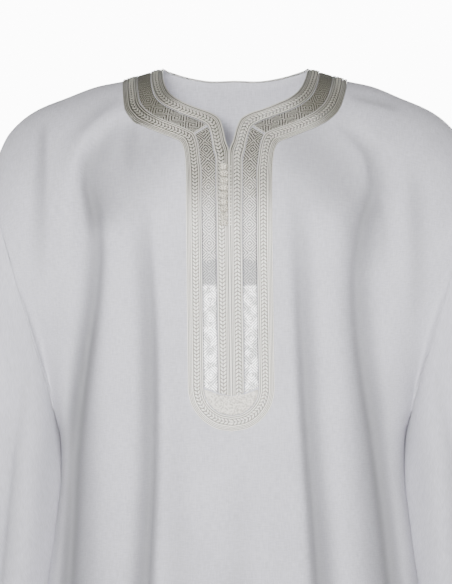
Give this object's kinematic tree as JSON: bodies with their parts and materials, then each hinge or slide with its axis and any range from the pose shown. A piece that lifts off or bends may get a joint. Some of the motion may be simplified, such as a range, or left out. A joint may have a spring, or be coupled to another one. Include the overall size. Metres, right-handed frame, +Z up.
{
  "type": "collarless robe",
  "caption": "Full-length white pull-on robe with wide sleeves, a round neck with a front slit, and a corded, braided and ribboned band round the neckline and placket, worn form",
  "frame": {"origin": "midway between the two neck points at the shoulder seams, where the robe hangs on the wearer's shoulders", "axes": "+Z up, -Y the robe's front, +X to the right of a viewer who faces the front"},
  "size_m": [0.704, 0.3987, 1.3816],
  "materials": {
    "robe_cloth": "matt plain weave, white",
    "silk_cord": "soft sheen, twisted and plaited cord, off-white",
    "silver_ribbon": "metallic-thread sheen, zigzag weave, silvery white",
    "plain_ribbon": "soft sheen, plain weave, off-white",
    "button_silk": "soft sheen, knotted thread, pale khaki"
  },
  "bodies": {
    "root": {"front_panel": "robe_cloth", "back_panel": "robe_cloth", "left_sleeve": "robe_cloth", "right_sleeve": "robe_cloth", "outer_braid": "silk_cord", "inner_braid": "silk_cord", "neck_ribbon": "silver_ribbon", "placket_ribbon_left": "silver_ribbon", "placket_ribbon_right": "silver_ribbon", "placket_end_patch": "plain_ribbon", "button_1": "button_silk", "button_2": "button_silk", "button_3": "button_silk", "button_4": "button_silk", "button_5": "button_silk", "button_6": "button_silk", "button_7": "button_silk", "button_8": "button_silk", "button_9": "button_silk", "button_loop_1": "silk_cord", "button_loop_2": "silk_cord", "button_loop_3": "silk_cord", "button_loop_4": "silk_cord", "button_loop_5": "silk_cord", "button_loop_6": "silk_cord", "button_loop_7": "silk_cord", "button_loop_8": "silk_cord", "button_loop_9": "silk_cord"}
  },
  "joints": []
}
